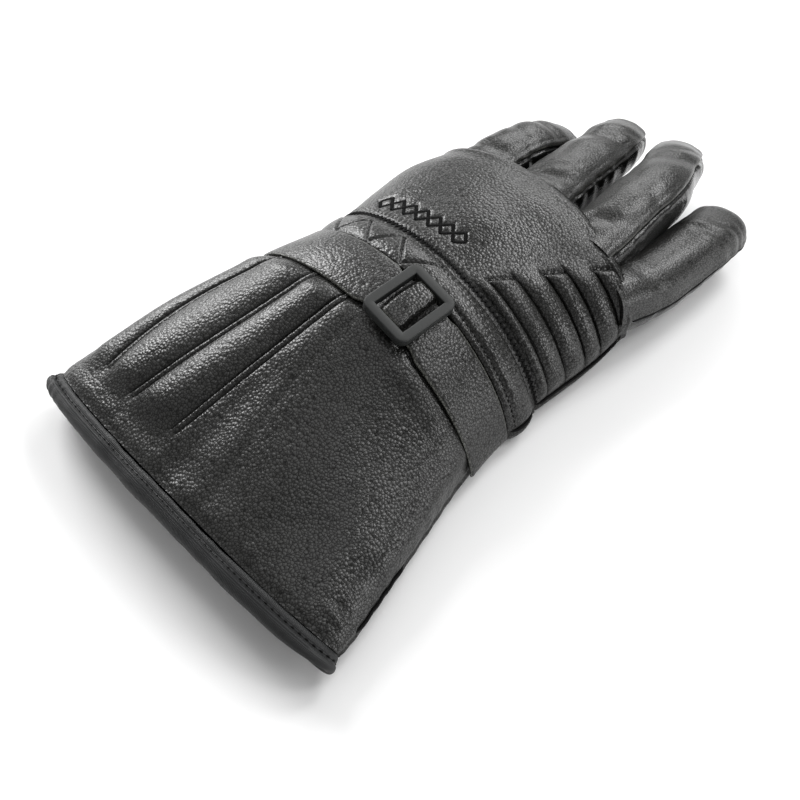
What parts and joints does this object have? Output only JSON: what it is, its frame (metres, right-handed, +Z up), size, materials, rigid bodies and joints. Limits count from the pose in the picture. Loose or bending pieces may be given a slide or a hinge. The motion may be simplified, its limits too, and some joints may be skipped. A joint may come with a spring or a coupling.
{
  "type": "motorcycle glove",
  "caption": "Right gauntlet glove for motorcycle riding in black leather, with a padded wrist, sewn ribs, and a strap with a slide buckle.",
  "frame": {"origin": "centre of the glove's footprint, on the surface it lies on", "axes": "+Y from the cuff to the fingertips, +X towards the little finger, +Z up from the palm to the back of the hand"},
  "size_m": [0.188, 0.333, 0.0692],
  "materials": {
    "black_leather": "pebbled, semi-gloss",
    "finger_leather": "smooth, semi-gloss",
    "palm_leather": "smooth, matt",
    "binding_cloth": "woven, satin",
    "dark_plastic": "matt"
  },
  "bodies": {
    "root": {"gauntlet_back": "black_leather", "gauntlet_palm": "palm_leather", "hem_binding": "binding_cloth", "wrist_band_back": "black_leather", "wrist_band_palm": "palm_leather", "hand_back": "black_leather", "hand_palm": "palm_leather", "index_finger_back": "finger_leather", "index_finger_palm": "palm_leather", "middle_finger_back": "finger_leather", "middle_finger_palm": "palm_leather", "ring_finger_back": "finger_leather", "ring_finger_palm": "palm_leather", "little_finger_back": "finger_leather", "little_finger_palm": "palm_leather", "thumb": "palm_leather", "strap": "black_leather", "buckle": "dark_plastic"}
  },
  "joints": []
}
